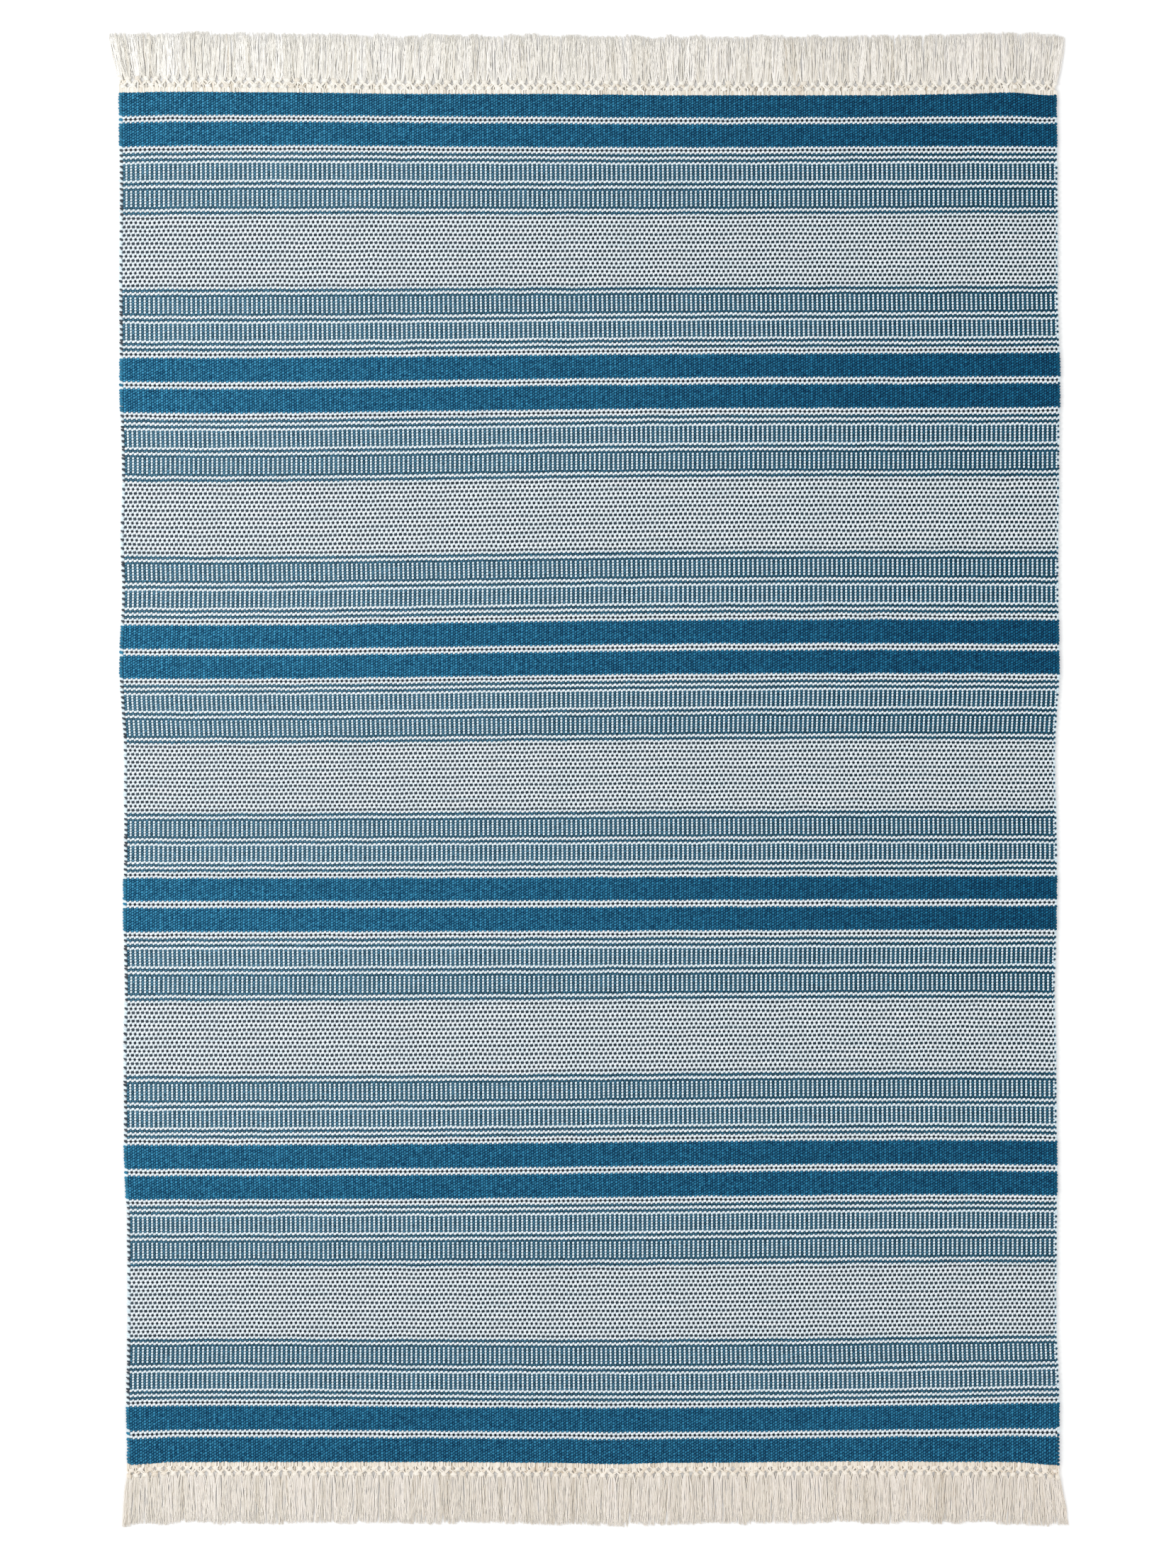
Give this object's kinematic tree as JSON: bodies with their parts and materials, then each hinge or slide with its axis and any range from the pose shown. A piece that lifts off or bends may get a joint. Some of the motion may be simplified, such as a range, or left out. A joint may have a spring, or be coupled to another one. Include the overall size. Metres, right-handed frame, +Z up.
{
  "type": "outdoor rug",
  "caption": "Flat-woven rectangular outdoor rug in blue and off-white weft stripes, laid flat, with knotted warp fringes at both ends.",
  "frame": {"origin": "centre of the footprint on the floor, at the rug's underside", "axes": "+X across the rug, +Y along it towards the far fringe, +Z up"},
  "size_m": [1.3592, 2.1298, 0.005],
  "materials": {
    "woven_cloth": "weft-faced plain weave in thick twisted yarn, blue and off-white stripes, matt with a slight sheen",
    "fringe_yarn": "off-white plied warp yarn, knotted in two rows and combed out"
  },
  "bodies": {
    "root": {"woven_cloth": "woven_cloth", "far_fringe": "fringe_yarn", "near_fringe": "fringe_yarn"}
  },
  "joints": []
}
